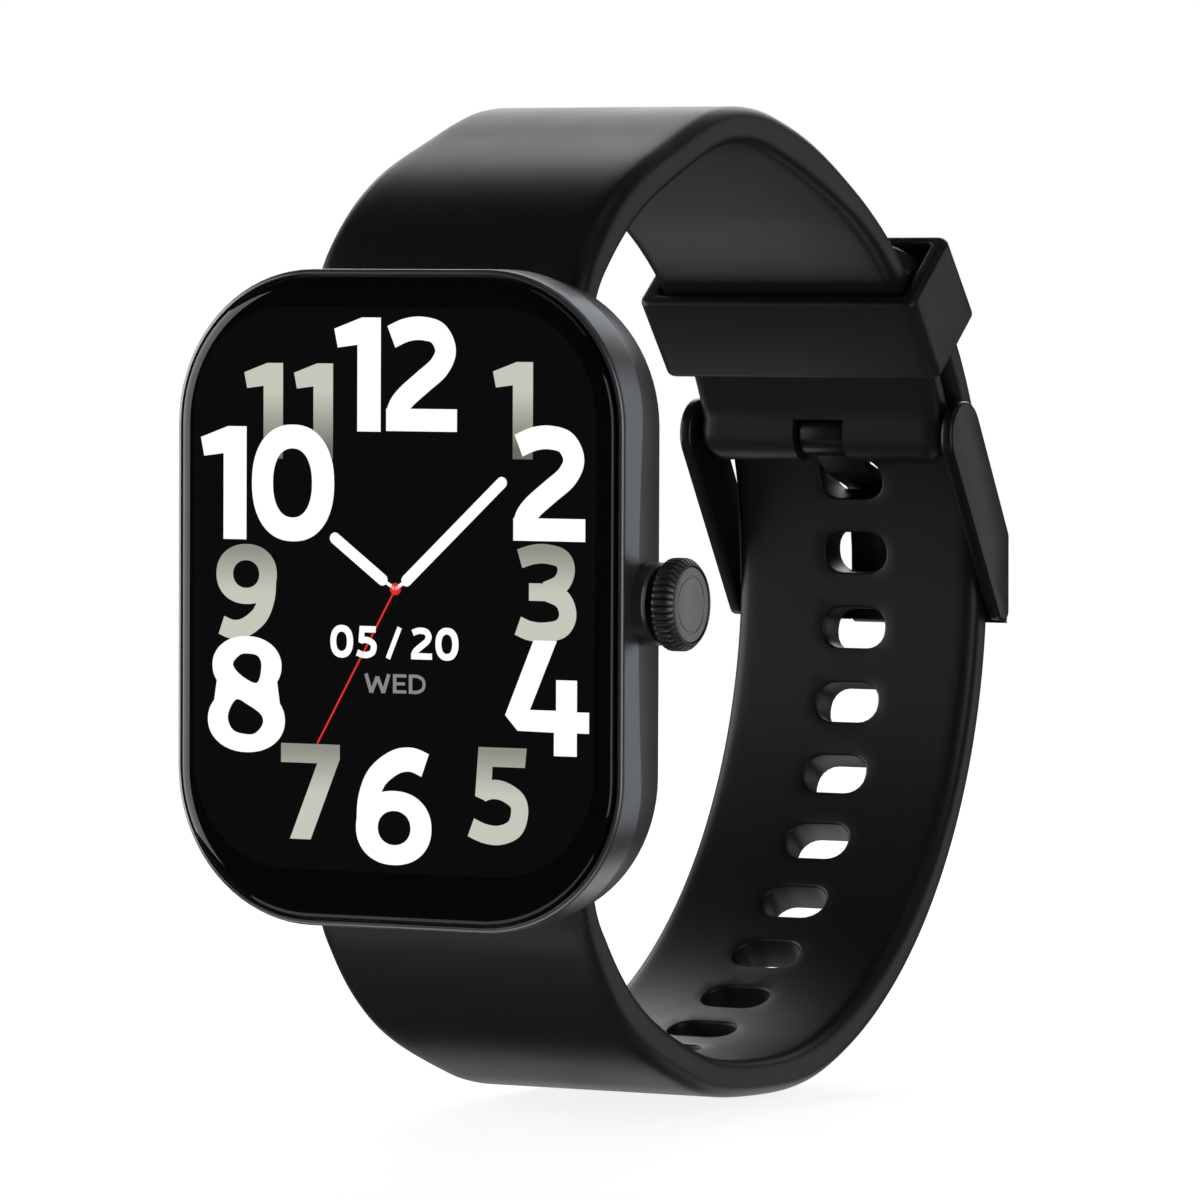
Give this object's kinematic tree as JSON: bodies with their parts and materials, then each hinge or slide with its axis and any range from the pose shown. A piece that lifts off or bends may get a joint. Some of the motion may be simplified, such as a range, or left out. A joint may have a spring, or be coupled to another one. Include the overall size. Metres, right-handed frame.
{
  "type": "smartwatch",
  "caption": "Smartwatch with a rounded rectangular touch display, a rotary crown and a buckled rubber strap.",
  "frame": {"origin": "centre of the sensor window's outer face, which rests on the wrist", "axes": "+Z towards 12 o'clock, +X towards the crown, -Y out of the display; +Y is out of the case's back, into the strap's loop"},
  "size_m": [0.0393, 0.0769, 0.0733],
  "materials": {
    "frame_metal": "satin anodised, gunmetal",
    "cover_glass": "polished",
    "display": "gloss",
    "adhesive": "tacky",
    "flex_film": "satin",
    "inner_plastic": "matte",
    "circuit_board": "solder mask",
    "shield_metal": "brushed",
    "battery_foil": "foil",
    "seal_rubber": "matte",
    "cover_plastic": "fine matte",
    "sensor_glass": "polished",
    "sensor_chip": "gloss",
    "contact_gold": "gold plated",
    "screw_steel": "black oxide",
    "crown_metal": "satin anodised",
    "crown_disc": "satin",
    "bar_steel": "satin",
    "strap_rubber": "satin silicone",
    "buckle_metal": "black satin"
  },
  "bodies": {
    "case": {"mid_frame": "frame_metal", "cover_glass": "cover_glass", "glass_adhesive": "adhesive", "display_panel": "display", "display_flex": "flex_film", "inner_chassis": "inner_plastic", "main_board": "circuit_board", "shield_cans": "shield_metal", "battery": "battery_foil", "battery_lead": "flex_film", "vibration_motor": "shield_metal", "speaker": "inner_plastic", "microphone": "shield_metal", "crown_switch": "inner_plastic", "rear_gasket": "seal_rubber", "rear_cover": "cover_plastic", "sensor_window": "sensor_glass", "sensor_board": "circuit_board", "sensor_emitters": "sensor_chip", "sensor_detectors": "sensor_chip", "charge_contacts": "contact_gold", "rear_screws": "screw_steel", "crown_collar": "frame_metal"},
    "crown_stem": {"crown_plunger": "bar_steel"},
    "crown_wheel": {"crown_shaft": "bar_steel", "crown_seal": "seal_rubber", "crown_knob": "crown_metal", "crown_cap": "crown_disc"},
    "upper_band": {"upper_strap": "strap_rubber", "upper_bar_tube": "bar_steel", "upper_bar_pin": "bar_steel", "upper_release_spring": "bar_steel", "buckle_bar": "bar_steel", "buckle_pins": "bar_steel"},
    "lower_band": {"lower_strap": "strap_rubber", "lower_bar_tube": "bar_steel", "lower_bar_pin": "bar_steel", "lower_release_spring": "bar_steel"},
    "upper_release": {"upper_release_pin": "bar_steel"},
    "lower_release": {"lower_release_pin": "bar_steel"},
    "keeper": {"strap_keeper": "strap_rubber"},
    "buckle": {"buckle_frame": "buckle_metal"},
    "tongue": {"buckle_tongue": "buckle_metal"}
  },
  "joints": [
    {"name": "crown_press", "type": "slide", "parent": "case", "child": "crown_stem", "axis": [-1, 0, 0], "range_m": [0, 0.0004], "stiffness_N_per_m": 2000},
    {"name": "crown_turn", "type": "hinge", "parent": "crown_stem", "child": "crown_wheel", "pos_m": [0, -0.0063, 0], "axis": [1, 0, 0], "continuous": true},
    {"name": "upper_strap_swing", "type": "hinge", "parent": "case", "child": "upper_band", "pos_m": [0, -0.0027, 0.0189], "axis": [1, 0, 0], "range_deg": [0, 25], "deforming": ["lower_strap"]},
    {"name": "lower_strap_swing", "type": "hinge", "parent": "case", "child": "lower_band", "pos_m": [0, -0.0027, -0.0189], "axis": [-1, 0, 0], "range_deg": [0, 25]},
    {"name": "upper_release_slide", "type": "slide", "parent": "upper_band", "child": "upper_release", "axis": [-1, 0, 0], "range_m": [0, 0.0014], "stiffness_N_per_m": 800, "deforming": ["upper_release_spring"]},
    {"name": "lower_release_slide", "type": "slide", "parent": "lower_band", "child": "lower_release", "axis": [-1, 0, 0], "range_m": [0, 0.0014], "stiffness_N_per_m": 800, "deforming": ["lower_release_spring"]},
    {"name": "keeper_slide", "type": "hinge", "parent": "upper_band", "child": "keeper", "pos_m": [0, 0.0272, -0.0006], "axis": [1, 0, 0], "range_deg": [-4, 9]},
    {"name": "buckle_swing", "type": "hinge", "parent": "upper_band", "child": "buckle", "pos_m": [0, 0.05717, 0.01061], "axis": [1, 0, 0], "range_deg": [0, 25]},
    {"name": "tongue_swing", "type": "hinge", "parent": "buckle", "child": "tongue", "pos_m": [0, 0.05717, 0.01061], "axis": [1, 0, 0], "range_deg": [0, 30]}
  ]
}
